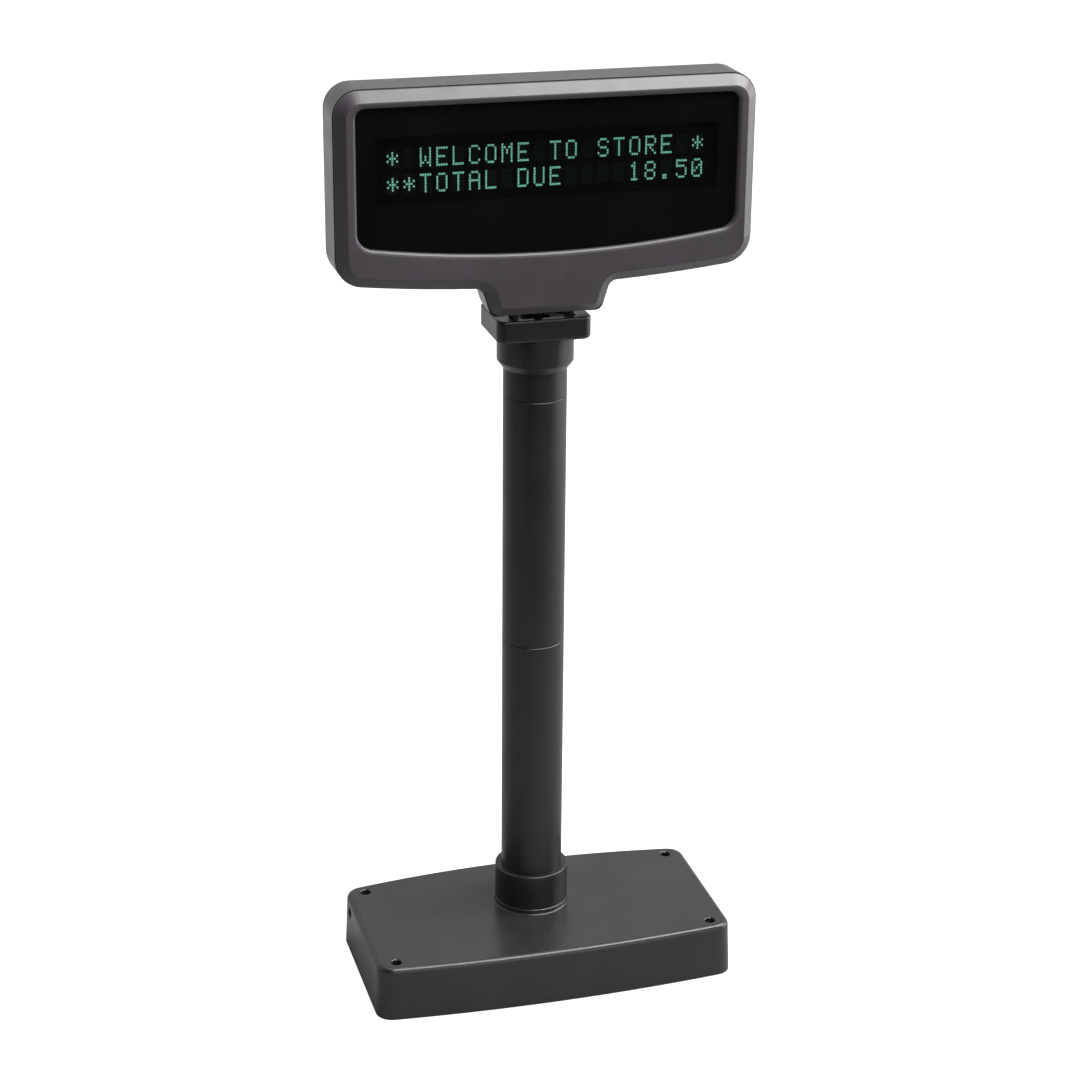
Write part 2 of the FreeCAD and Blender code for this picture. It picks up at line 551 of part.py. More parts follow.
def head_outline(neck_corner_r=NECK_CORNER_R, taper=0.0):
    """The rear shell's outline, seen from the front: a wide bowed body on a short neck."""
    neck_top, neck_foot = NECK_HALF_TOP - taper, NECK_HALF_BOTTOM - taper
    low_z = bowed_z(HEAD_HALF_W, HEAD_BOTTOM, BOTTOM_BOW_R)
    neck_z = bowed_z(neck_top, HEAD_BOTTOM, BOTTOM_BOW_R)
    middle_x = (HEAD_HALF_W + neck_top) / 2
    middle_z = bowed_z(middle_x, HEAD_BOTTOM, BOTTOM_BOW_R)
    right = [V(HEAD_HALF_W, 0, HEAD_TOP), V(HEAD_HALF_W, 0, low_z), V(neck_top, 0, neck_z),
             V(neck_foot, 0, NECK_BOTTOM)]
    left = [V(-p.x, 0, p.z) for p in right]
    edges = [line(left[0], right[0]), line(right[0], right[1]),
             arc(right[1], V(middle_x, 0, middle_z), right[2]), line(right[2], right[3]),
             line(right[3], left[3]), line(left[3], left[2]),
             arc(left[2], V(-middle_x, 0, middle_z), left[1]), line(left[1], left[0])]
    radii = (TOP_CORNER_R, LOW_CORNER_R, NECK_FILLET_R, neck_corner_r)
    return rounded_outline(edges, [pair for points in (right, left) for pair in zip(points, radii)])


def window_outline():
    low_z = bowed_z(WIN_HALF_W, WIN_BOTTOM, WIN_BOW_R)
    corners = [V(-WIN_HALF_W, 0, WIN_TOP), V(WIN_HALF_W, 0, WIN_TOP), V(WIN_HALF_W, 0, low_z),
               V(-WIN_HALF_W, 0, low_z)]
    edges = [line(corners[0], corners[1]), line(corners[1], corners[2]),
             arc(corners[2], V(0, 0, WIN_BOTTOM), corners[3]), line(corners[3], corners[0])]
    return rounded_outline(edges, zip(corners, (WIN_TOP_R, WIN_TOP_R, WIN_LOW_R, WIN_LOW_R)))


def grown(wire, by):
    """A copy of an outline, larger by a distance all round, or smaller where it is negative."""
    return wire.makeOffset2D(by) if by else wire.copy()


def slab(wire, by, y0, y1):
    """An outline, grown by a distance, as a solid from y0 to y1."""
    face = Part.Face(grown(wire, by))
    face.translate(V(0, y0, 0))
    return face.extrude(V(0, y1 - y0, 0))


def front_bezel():
    outline, window = head_outline(BEZEL_NECK_CORNER_R), window_outline()
    body = slab(outline, -BEZEL_INSET, HEAD_FRONT, BEZEL_REAR)
    body = body.makeChamfer(BEZEL_SLOPE, edges_where(body, lambda e, m: m.y < HEAD_FRONT + 0.01))
    body = body.makeFillet(BEZEL_CREST_R, edges_where(body, lambda e, m: m.y < HEAD_FRONT + 0.01))
    slope_end = HEAD_FRONT + BEZEL_SLOPE
    body = body.makeFillet(BEZEL_EDGE_R, edges_where(body, lambda e, m: abs(m.y - slope_end) < 0.01))
    hollow = slab(outline, -BEZEL_INSET - 3.0, HEAD_FRONT + BEZEL_PLATE, BEZEL_REAR + 1)
    body = body.cut(hollow)
    lip = slab(outline, -SHELL_WALL - 0.2, HEAD_FRONT + BEZEL_PLATE + 1, SHELL_FRONT + 4)
    lip = lip.cut(slab(outline, -SHELL_WALL - 1.8, HEAD_FRONT, SHELL_FRONT + 5))
    lip = lip.cut(box(-45, 45, -20, 40, 360, HEAD_BOTTOM + 6))
    bosses = [rod_y(x, HEAD_FRONT + BEZEL_PLATE - 1, CASE_SCREW_SEAT - 6.0, z, 3.2) for x, z in CASE_SCREWS]
    body = fuse([body, lip] + bosses)
    body = body.cut(slab(window, 0.0, HEAD_FRONT - 1, HEAD_FRONT + BEZEL_PLATE + 1))
    body = body.makeFillet(WIN_ROUND, edges_where(body, lambda e, m: m.y < HEAD_FRONT + 0.01
                                                  and abs(m.x) < WIN_HALF_W + 0.5
                                                  and WIN_BOTTOM - 0.5 < m.z < WIN_TOP + 0.5))
    for x, z in CASE_SCREWS:
        body = body.cut(rod_y(x, CASE_SCREW_SEAT - 16, CASE_SCREW_SEAT - 5, z, 1.4))
    return body


def filter_window():
    y0 = HEAD_FRONT + BEZEL_PLATE
    return slab(window_outline(), FILTER_LAP, y0, y0 + FILTER_T)


def vent_slots():
    """Two rows of cooling slots through the rear wall."""
    slots = []
    for side in SIDES:
        for i in range(9):
            x = side * (38.0 + 5.5 * i)
            slots.append(box(x - 1.1, x + 1.1, HEAD_REAR - 6, HEAD_REAR + 1, 464, 486))
    return slots


def tapered_slab(by, y0, y1):
    """The rear shell's block, grown by a distance, with the neck narrower at the rear."""
    sections = []
    for y in (y0, y1):
        taper = NECK_TAPER * (y - SHELL_FRONT) / (HEAD_REAR - SHELL_FRONT)
        section = grown(head_outline(taper=taper), by)
        section.translate(V(0, y, 0))
        sections.append(section)
    return Part.makeLoft(sections, True, True)


def rear_shell():
    body = tapered_slab(0.0, SHELL_FRONT, HEAD_REAR)
    body = body.makeFillet(REAR_EDGE_R, edges_where(body, lambda e, m: m.y > HEAD_REAR - 0.01))
    inside_y = HEAD_REAR - SHELL_WALL
    body = body.cut(tapered_slab(-SHELL_WALL, SHELL_FRONT - 1, inside_y))
    posts = [rod_y(x, CASE_SCREW_SEAT - 5.7, inside_y + 0.5, z, 4.5) for x, z in CASE_SCREWS]
    posts += [rod_y(x, PCB_BACK, inside_y + 0.5, z, 3.2) for x, z in PCB_SCREWS]
    posts += [rod_y(x, YOKE_PLATE_Y + EAR_T, inside_y + 0.5, z, 3.5) for x, z in YOKE_SCREWS]
    body = fuse([body] + posts)
    for x, z in CASE_SCREWS:
        body = body.cut(rod_y(x, -2, 20, z, 1.6))
        body = body.cut(rod_y(x, CASE_SCREW_SEAT, HEAD_REAR + 1, z, 3.1))
    for x, z in PCB_SCREWS:
        body = body.cut(rod_y(x, PCB_BACK - 1, PCB_BACK + 9, z, 1.25))
    for x, z in YOKE_SCREWS:
        body = body.cut(rod_y(x, 0, YOKE_PLATE_Y + 8, z, 1.5))
    for slot in vent_slots():
        body = body.cut(slot)
    # The neck is open underneath, and its rear is cut away so that the head can lean back.
    body = body.cut(box(-22, 22, SHELL_FRONT - 1, inside_y, NECK_BOTTOM - 1, NECK_BOTTOM + 4))
    relief_y = HINGE_Y + 6.5
    relief = Part.Face(Part.makePolygon([V(-60, relief_y, NECK_BOTTOM - 4), V(-60, relief_y, NECK_BOTTOM),
                                         V(-60, HEAD_REAR, NECK_BOTTOM + 6.7),
                                         V(-60, HEAD_REAR + 1, NECK_BOTTOM + 6.7),
                                         V(-60, HEAD_REAR + 1, NECK_BOTTOM - 4),
                                         V(-60, relief_y, NECK_BOTTOM - 4)]))
    return body.cut(relief.extrude(V(120, 0, 0)))


def tilt_yoke():
    """The steel yoke that hangs the head on the hinge bolts."""
    half = YOKE_X + EAR_T
    pieces = [box(-half, half, YOKE_PLATE_Y, YOKE_PLATE_Y + EAR_T, HINGE_Z + 8, YOKE_TOP)]
    for side in SIDES:
        x0, x1 = sorted((side * YOKE_X, side * half))
        pieces.append(box(x0, x1, HINGE_Y - EAR_R, HINGE_Y + EAR_R, HINGE_Z, HINGE_Z + 21))
        pieces.append(rod_x(x0, x1, HINGE_Y, HINGE_Z, EAR_R))
        pieces.append(box(x0, x1, HINGE_Y, YOKE_PLATE_Y + EAR_T, HINGE_Z + 8, HINGE_Z + 21))
    yoke = fuse(pieces)
    yoke = yoke.cut(rod_x(-30, 30, HINGE_Y, HINGE_Z, HINGE_BOLT_R + RUN_CLEAR))
    for x, z in YOKE_SCREWS:
        yoke = yoke.cut(rod_y(x, 0, HEAD_REAR, z, 1.5))
    return yoke


def yoke_screws():
    return Part.makeCompound([level_screw(x, YOKE_PLATE_Y, z, 1.5, 2.6, 2.0, 7.5, -1)
                              for x, z in YOKE_SCREWS])


def case_screws():
    return Part.makeCompound([level_screw(x, CASE_SCREW_SEAT, z, 1.4, 2.7, 2.0, CASE_SCREW_LENGTH, 1)
                              for x, z in CASE_SCREWS])


# ---------------------------------------------------------------- display module

def vfd_front_glass():
    """The tube's front glass: a shallow tray that closes on the anode plate."""
    half = GLASS_W / 2
    tray = rounded_box(-half, half, GLASS_FRONT, GLASS_FRONT + GLASS_T, GLASS_Z0, GLASS_Z1, 2.0, Y_DIR)
    return tray.cut(box(-half + 5, half - 5, GLASS_FRONT + 2.2, GLASS_FRONT + GLASS_T + 1,
                        GLASS_Z0 + 5, GLASS_Z1 - 5))


def vfd_anode_plate():
    half = GLASS_W / 2
    y0 = GLASS_FRONT + GLASS_T
    return rounded_box(-half, half, y0, y0 + ANODE_T, GLASS_Z0 + 1, GLASS_Z1 - 1, 1.5, Y_DIR)


def vfd_leads():
    """Flat leads along the plate's lower edge, bent back to the board."""
    y0 = GLASS_FRONT + GLASS_T + ANODE_T
    leads = []
    for i in range(LEAD_COUNT):
        x = (i - (LEAD_COUNT - 1) / 2) * LEAD_PITCH
        foot = box(x - 0.3, x + 0.3, y0, y0 + 0.4, GLASS_Z0 - 2.5, GLASS_Z0 + 3)
        reach = box(x - 0.3, x + 0.3, y0, PCB_Y0, GLASS_Z0 - 2.9, GLASS_Z0 - 2.5)
        leads.append(foot.fuse(reach))
    return Part.makeCompound(leads)


def display_board():
    board = rounded_box(-PCB_HALF_W, PCB_HALF_W, PCB_Y0, PCB_BACK, PCB_Z0, PCB_Z1, 2.0, Y_DIR)
    for x, z in PCB_SCREWS:
        board = board.cut(rod_y(x, PCB_Y0 - 1, 10, z, 1.25))
    return board


def display_board_screws():
    return Part.makeCompound([level_screw(x, PCB_Y0, z, 1.25, 2.4, 1.6, 8.0, -1) for x, z in PCB_SCREWS])


def driver_chips():
    chips = [box(x - 7, x + 7, PCB_BACK, PCB_BACK + 2.2, 460, 474) for x in (-72.0, -44.0, 44.0)]
    chips.append(box(62, 76, PCB_BACK, PCB_BACK + 2.2, 440, 450))
    return Part.makeCompound(chips)


def capacitors():
    places = ((-82.0, 446.0), (-70.0, 446.0), (84.0, 464.0), (84.0, 476.0))
    cans = []
    for x, z in places:
        can = rod_y(x, PCB_BACK, PCB_BACK + 11.5, z, 4.0)
        cans.append(can.makeFillet(0.6, edges_where(can, lambda e, m: m.y > PCB_BACK + 11.4)))
    return Part.makeCompound(cans)


def power_transformer():
    """A small ferrite-cored converter transformer: bobbin between two core halves."""
    core = box(24, 38, PCB_BACK, PCB_BACK + 11, 444, 458)
    return core.cut(box(23, 39, PCB_BACK + 3, PCB_BACK + 8, 442, 446.5)).cut(
        box(23, 39, PCB_BACK + 3, PCB_BACK + 8, 455.5, 460))


def cable_header():
    return box(-11, 11, PCB_BACK, PLUG_Y + 3.6, PLUG_Z1, PLUG_Z1 + 6)


def cable_plug_upper():
    return rounded_box(-10, 10, PLUG_Y - 2.7, PLUG_Y + 2.7, PLUG_Z0, PLUG_Z1, 0.8, Z_DIR)


PIECES = {
    "base_cover": base_cover,
    "base_plate": base_plate,
    "ballast_plate": ballast_plate,
    "rubber_feet": rubber_feet,
    "base_screws": base_screws,
    "pole_socket": pole_socket,
    "socket_screws": socket_screws,
    "interface_board": interface_board,
    "board_spacers": board_spacers,
    "board_screws": board_screws,
    "board_parts": board_parts,
    "dc_jack": dc_jack,
    "data_port": data_port,
    "port_contacts": port_contacts,
    "cable_plug_lower": cable_plug_lower,
    "pole_tube_lower": lambda: tube(TUBE_FOOT, SEAM_1, False, True),
    "pole_tube_middle": lambda: tube(SEAM_1, SEAM_2, True, True),
    "pole_tube_upper": lambda: tube(SEAM_2, TUBE_TOP, True, False),
    "coupler_lower": lambda: coupler(SEAM_1 - 20, SEAM_1 + 20),
    "coupler_upper": lambda: coupler(SEAM_2 - 20, SEAM_2 + 9),
    "pole_cable": pole_cable,
    "swivel_bush": swivel_bush,
    "stop_pin": stop_pin,
    "thrust_washer": thrust_washer,
    "stop_washer": stop_washer,
    "retaining_ring": retaining_ring,
    "swivel_spindle": swivel_spindle,
    "swivel_holder": swivel_holder,
    "tilt_bracket": tilt_bracket,
    "bracket_screws": bracket_screws,
    "hinge_bolts": hinge_bolts,
    "hinge_nuts": hinge_nuts,
    "friction_washers": lambda: washer_pair(EAR_X + EAR_T),
    "outer_washers": lambda: washer_pair(YOKE_X + EAR_T + AXIAL_GAP),
    "neck_cable": neck_cable,
    "front_bezel": front_bezel,
    "rear_shell": rear_shell,
    "filter_window": filter_window,
    "tilt_yoke": tilt_yoke,
    "yoke_screws": yoke_screws,
    "case_screws": case_screws,
    "vfd_front_glass": vfd_front_glass,
    "vfd_anode_plate": vfd_anode_plate,
    "vfd_leads": vfd_leads,
    "display_board": display_board,
    "display_board_screws": display_board_screws,
    "driver_chips": driver_chips,
    "capacitors": capacitors,
    "power_transformer": power_transformer,
    "cable_header": cable_header,
    "cable_plug_upper": cable_plug_upper,
}

os.makedirs("parts", exist_ok=True)
for name, make in PIECES.items():
    shape = make()
    shape.exportStep("parts/" + name + ".step")
    print(name, len(shape.Solids), round(shape.Volume, 1), shape.isValid())
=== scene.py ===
"""The looks of the customer pole display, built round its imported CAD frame.

Metres, +Z up, the display faces -Y.  Places come from the CAD nodes' boxes.
"""
import json
import math

import bmesh
import bpy
from mathutils import Matrix, Vector


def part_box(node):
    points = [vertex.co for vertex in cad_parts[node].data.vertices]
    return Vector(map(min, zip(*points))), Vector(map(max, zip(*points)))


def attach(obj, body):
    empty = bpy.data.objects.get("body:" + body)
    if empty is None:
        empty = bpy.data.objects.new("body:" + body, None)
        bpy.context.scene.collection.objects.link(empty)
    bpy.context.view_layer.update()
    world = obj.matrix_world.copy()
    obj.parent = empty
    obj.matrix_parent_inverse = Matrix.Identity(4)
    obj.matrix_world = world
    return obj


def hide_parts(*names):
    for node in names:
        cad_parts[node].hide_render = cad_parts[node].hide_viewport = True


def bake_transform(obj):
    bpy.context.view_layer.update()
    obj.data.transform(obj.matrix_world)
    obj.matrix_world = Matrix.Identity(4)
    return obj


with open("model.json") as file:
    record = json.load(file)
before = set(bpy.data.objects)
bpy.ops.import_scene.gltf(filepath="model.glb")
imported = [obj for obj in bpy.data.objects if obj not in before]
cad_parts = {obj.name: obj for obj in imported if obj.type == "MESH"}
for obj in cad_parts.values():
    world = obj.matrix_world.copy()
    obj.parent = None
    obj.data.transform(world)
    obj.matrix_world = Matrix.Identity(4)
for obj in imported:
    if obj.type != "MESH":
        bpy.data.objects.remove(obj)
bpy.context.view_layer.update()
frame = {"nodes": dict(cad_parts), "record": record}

MM = 0.001
NODES = frame["nodes"]

# ---------------------------------------------------------------- camera and studio

EYE = Vector((-0.35006, -1.24132, 0.75685))
YAW, PITCH, ROLL = math.radians(15.777), math.radians(21.303), math.radians(0.494)
LENS, SENSOR = 85.95, 36.0

# What reflections see of the studio: dark in front of the object, pale behind it.
FRONT_WALL, BACK_WALL = (0.0, 0.0, 0.0), (0.62, 0.61, 0.62)
RAMP_START, RAMP_END = 0.45, 0.65
BACKDROP = 1.1                  # how bright the camera itself sees the backdrop
FLOOR_FRONT, FLOOR_REACH = -0.55, 14
FLOOR_TONE, FLOOR_BACK = 0.27, 0.55
GLOW_START, GLOW_END = 0.1, 2.2

AIM = (0, 0, 0.3)               # the middle of the pole, which every softbox faces
# Name, place, width, height and power in watts.
SOFTBOXES = (("overhead", (0.45, -0.7, 2.0), 1.8, 0.9, 52),
             ("overhead_rear", (0.1, 0.2, 2.1), 1.8, 0.9, 12),
             ("front_wall", (0.4, -2.2, 0.8), 2.0, 1.4, 13),
             ("right_side", (1.7, -0.1, 0.45), 1.4, 0.9, 16),
             ("right_top", (1.3, 0.0, 1.5), 1.0, 1.0, 31))


def add_camera():
    ahead = Vector((math.sin(YAW) * math.cos(PITCH), math.cos(YAW) * math.cos(PITCH),
                    -math.sin(PITCH)))
    right = Vector((math.cos(YAW), -math.sin(YAW), 0))
    up = right.cross(ahead)
    rolled_right = right * math.cos(ROLL) + up * math.sin(ROLL)
    rolled_up = up * math.cos(ROLL) - right * math.sin(ROLL)
    data = bpy.data.cameras.new("camera")
    data.lens, data.sensor_width = LENS, SENSOR
    data.clip_start, data.clip_end = 0.05, 60
    camera = bpy.data.objects.new("camera", data)
    turn = Matrix((rolled_right, rolled_up, -ahead)).transposed()
    camera.matrix_world = Matrix.Translation(EYE) @ turn.to_4x4()
    bpy.context.scene.collection.objects.link(camera)
    bpy.context.scene.camera = camera


def add_softbox(name, place, width, height, power):
    light = bpy.data.lights.new(name, "AREA")
    light.shape = "RECTANGLE"
    light.size, light.size_y = width, height
    light.energy = power
    box = bpy.data.objects.new(name, light)
    box.location = place
    box.rotation_euler = (Vector(AIM) - Vector(place)).to_track_quat("-Z", "Y").to_euler()
    bpy.context.scene.collection.objects.link(box)


def add_world():
    """A studio that reflects dark in front of the object and pale behind; the camera sees white."""
    world = bpy.data.worlds.new("studio")
    bpy.context.scene.world = world
    world.use_nodes = True
    nodes, links = world.node_tree.nodes, world.node_tree.links
    lit = nodes["Background"]
    backdrop = nodes.new("ShaderNodeBackground")
    backdrop.inputs["Color"].default_value = (1, 1, 1, 1)
    backdrop.inputs["Strength"].default_value = BACKDROP
    coords = nodes.new("ShaderNodeTexCoord")
    split = nodes.new("ShaderNodeSeparateXYZ")
    ramp = nodes.new("ShaderNodeValToRGB")
    shift = nodes.new("ShaderNodeMath")
    shift.operation = "MULTIPLY_ADD"
    shift.inputs[1].default_value, shift.inputs[2].default_value = 0.5, 0.5
    links.new(coords.outputs["Generated"], split.inputs[0])
    links.new(split.outputs["Y"], shift.inputs[0])
    links.new(shift.outputs[0], ramp.inputs[0])
    ramp.color_ramp.elements[0].position = RAMP_START
    ramp.color_ramp.elements[0].color = (*FRONT_WALL, 1)
    ramp.color_ramp.elements[1].position = RAMP_END
    ramp.color_ramp.elements[1].color = (*BACK_WALL, 1)
    links.new(ramp.outputs[0], lit.inputs["Color"])
    rays = nodes.new("ShaderNodeLightPath")
    choose = nodes.new("ShaderNodeMixShader")
    links.new(rays.outputs["Is Camera Ray"], choose.inputs[0])
    links.new(lit.outputs[0], choose.inputs[1])
    links.new(backdrop.outputs[0], choose.inputs[2])
    links.new(choose.outputs[0], nodes["World Output"].inputs["Surface"])


def add_floor():
    mesh = bpy.data.meshes.new("floor")
    mesh.from_pydata([(-FLOOR_REACH, FLOOR_FRONT, 0), (FLOOR_REACH, FLOOR_FRONT, 0),
                      (FLOOR_REACH, FLOOR_REACH, 0), (-FLOOR_REACH, FLOOR_REACH, 0)],
                     [], [(0, 1, 2, 3)])
    floor = bpy.data.objects.new("floor", mesh)
    bpy.context.scene.collection.objects.link(floor)
    material, nodes, links, shader = new_material("pale_floor")
    shader.inputs["Base Color"].default_value = (FLOOR_TONE, FLOOR_TONE, FLOOR_TONE, 1)
    shader.inputs["Roughness"].default_value = 0.9
    shader.inputs["Specular IOR Level"].default_value = 0.1
    shader.inputs["Emission Color"].default_value = (1, 1, 1, 1)
    # The camera sees it white all over; reflections see it brighter the further behind it lies.
    rays = nodes.new("ShaderNodeLightPath")
    coords = nodes.new("ShaderNodeTexCoord")
    split = nodes.new("ShaderNodeSeparateXYZ")
    links.new(coords.outputs["Object"], split.inputs[0])
    glow = nodes.new("ShaderNodeMath")
    glow.operation = "MAXIMUM"
    links.new(rays.outputs["Is Camera Ray"], glow.inputs[0])
    links.new(ranged(nodes, links, split.outputs["Y"], GLOW_START, GLOW_END, 0.0, FLOOR_BACK),
              glow.inputs[1])
    links.new(glow.outputs[0], shader.inputs["Emission Strength"])
    mesh.materials.append(material)


# ---------------------------------------------------------------- materials

def new_material(name):
    material = bpy.data.materials.new(name)
    material.use_nodes = True
    tree = material.node_tree
    return material, tree.nodes, tree.links, tree.nodes["Principled BSDF"]


def noise(nodes, links, scale, detail=2.0, stretch=(1, 1, 1)):
    """A noise texture on the piece's own coordinates; scale is in waves per metre."""
    coords = nodes.new("ShaderNodeTexCoord")
    mapping = nodes.new("ShaderNodeMapping")
    mapping.inputs["Scale"].default_value = stretch
    texture = nodes.new("ShaderNodeTexNoise")
    texture.inputs["Scale"].default_value = scale
    texture.inputs["Detail"].default_value = detail
    links.new(coords.outputs["Object"], mapping.inputs[0])
    links.new(mapping.outputs[0], texture.inputs["Vector"])
    return texture.outputs["Fac"]


def ranged(nodes, links, value, low, high, into_low=0.0, into_high=1.0):
    """Map one range of a value onto another."""
    remap = nodes.new("ShaderNodeMapRange")
    links.new(value, remap.inputs["Value"])
    for socket, number in zip(("From Min", "From Max", "To Min", "To Max"),
                              (low, high, into_low, into_high)):
        remap.inputs[socket].default_value = number
    return remap.outputs["Result"]


def blend_colors(nodes, links, factor, first, second):
    mix = nodes.new("ShaderNodeMix")
    mix.data_type = "RGBA"
    links.new(factor, mix.inputs["Factor"])
    for socket, color in ((6, first), (7, second)):
        if isinstance(color, tuple):
            mix.inputs[socket].default_value = (*color, 1)
        else:
            links.new(color, mix.inputs[socket])
    return mix.outputs[2]


def bumped(nodes, links, shader, height, distance):
    bump = nodes.new("ShaderNodeBump")
    bump.inputs["Distance"].default_value = distance
    bump.inputs["Strength"].default_value = 1.0
    links.new(height, bump.inputs["Height"])
    links.new(bump.outputs[0], shader.inputs["Normal"])


def moulded(name, color, rough, grain_mm=0.45, depth_mm=0.012, specular=0.5):
    """Moulded plastic with a fine spark-eroded grain, slight mottling and handling marks."""
    material, nodes, links, shader = new_material(name)
    patches = noise(nodes, links, 28.0, 3.0)
    darker = tuple(c * 0.86 for c in color)
    lighter = tuple(min(1.0, c * 1.14) for c in color)
    base = blend_colors(nodes, links, ranged(nodes, links, patches, 0.3, 0.7), darker, lighter)
    rubs = noise(nodes, links, 95.0, 4.0, (1, 1, 0.25))
    scuffed = ranged(nodes, links, rubs, 0.66, 0.78, 0.0, 0.35)
    base = blend_colors(nodes, links, scuffed, base, tuple(min(1.0, c * 1.5) for c in color))
    links.new(base, shader.inputs["Base Color"])
    gloss = noise(nodes, links, 60.0, 3.0)
    links.new(ranged(nodes, links, gloss, 0.3, 0.7, rough - 0.04, rough + 0.05),
              shader.inputs["Roughness"])
    shader.inputs["Specular IOR Level"].default_value = specular
    bumped(nodes, links, shader, noise(nodes, links, 1000.0 / grain_mm, 2.0), depth_mm * MM)
    return material


def metal(name, color, rough, stretch=(1, 1, 1)):
    """Plated or rolled steel with a fine brushed grain."""
    material, nodes, links, shader = new_material(name)
    patches = noise(nodes, links, 45.0, 3.0)
    darker = tuple(c * 0.8 for c in color)
    links.new(blend_colors(nodes, links, ranged(nodes, links, patches, 0.35, 0.65), darker, color),
              shader.inputs["Base Color"])
    shader.inputs["Metallic"].default_value = 1.0
    grain = noise(nodes, links, 900.0, 2.0, stretch)
    links.new(ranged(nodes, links, grain, 0.3, 0.7, rough - 0.08, rough + 0.1),
              shader.inputs["Roughness"])
    bumped(nodes, links, shader, grain, 0.01 * MM)
    return material


def circuit_board():
    """Green solder resist with the faint relief of the tracks under it."""
    material, nodes, links, shader = new_material("circuit_board")
    coords = nodes.new("ShaderNodeTexCoord")
    tracks = nodes.new("ShaderNodeTexBrick")
    tracks.inputs["Scale"].default_value = 160.0
    tracks.inputs["Mortar Size"].default_value = 0.12
    links.new(coords.outputs["Object"], tracks.inputs["Vector"])
    mask = tracks.outputs["Fac"]
    links.new(blend_colors(nodes, links, mask, (0.012, 0.09, 0.035), (0.02, 0.16, 0.06)),
              shader.inputs["Base Color"])
    gloss = noise(nodes, links, 80.0)
    links.new(ranged(nodes, links, gloss, 0.3, 0.7, 0.28, 0.4), shader.inputs["Roughness"])
    bumped(nodes, links, shader, mask, 0.03 * MM)
    return material


def band_mask(nodes, links, axis, middle, half, soft):
    """One inside a band across the piece, nought outside it, with soft edges; in metres."""
    coords = nodes.new("ShaderNodeTexCoord")
    split = nodes.new("ShaderNodeSeparateXYZ")
    links.new(coords.outputs["Object"], split.inputs[0])
    distance = nodes.new("ShaderNodeMath")
    distance.operation = "SUBTRACT"
    distance.inputs[1].default_value = middle
    links.new(split.outputs[axis], distance.inputs[0])
    size = nodes.new("ShaderNodeMath")
    size.operation = "ABSOLUTE"
    links.new(distance.outputs[0], size.inputs[0])
    return ranged(nodes, links, size.outputs[0], half - soft, half, 1.0, 0.0)


def smoked_filter():
    """Smoked acrylic, polished: clear enough to read through over the tube; round it the filter is
    made opaque and near black, a painted dark sheet standing in for the shade behind the window.
    """
    material, nodes, links, shader = new_material("smoked_filter")
    smears = noise(nodes, links, 22.0, 5.0, (1, 1, 0.6))
    links.new(ranged(nodes, links, smears, 0.4, 0.75, 0.06, 0.11), shader.inputs["Roughness"])
    tint = blend_colors(nodes, links, ranged(nodes, links, smears, 0.3, 0.8), (0.0035, 0.0035, 0.004),
                        (0.005, 0.005, 0.006))
    links.new(tint, shader.inputs["Base Color"])
    shader.inputs["Specular IOR Level"].default_value = 0.16
    glass_low, glass_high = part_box("vfd_front_glass")
    middle_z = (glass_low.z + glass_high.z) / 2
    # Painted shade: the filter is opaque outside this band round the tube and see-through inside it.
    across = band_mask(nodes, links, "X", 0.0, glass_high.x - 5 * MM, 2 * MM)
    upright = band_mask(nodes, links, "Z", middle_z, 18 * MM, 2 * MM)
    both = nodes.new("ShaderNodeMath")
    both.operation = "MULTIPLY"
    links.new(across, both.inputs[0])
    links.new(upright, both.inputs[1])
    links.new(ranged(nodes, links, both.outputs[0], 0.0, 1.0, 1.0, 0.4), shader.inputs["Alpha"])
    return material


def tube_glass():
    material, nodes, links, shader = new_material("tube_glass")
    haze = noise(nodes, links, 30.0, 4.0)
    links.new(ranged(nodes, links, haze, 0.3, 0.7, 0.03, 0.08), shader.inputs["Roughness"])
    links.new(blend_colors(nodes, links, haze, (0.01, 0.012, 0.012), (0.02, 0.022, 0.022)),
              shader.inputs["Base Color"])
    shader.inputs["Specular IOR Level"].default_value = 0.2
    shader.inputs["Alpha"].default_value = 0.06
    return material


def phosphor(name, color, strength):
    material, nodes, links, shader = new_material(name)
    grain = noise(nodes, links, 700.0, 2.0)
    tone = blend_colors(nodes, links, ranged(nodes, links, grain, 0.3, 0.7),
                        tuple(c * 0.85 for c in color), color)
    links.new(tone, shader.inputs["Base Color"])
    links.new(tone, shader.inputs["Emission Color"])
    shader.inputs["Emission Strength"].default_value = strength
    shader.inputs["Roughness"].default_value = 0.8
    return material


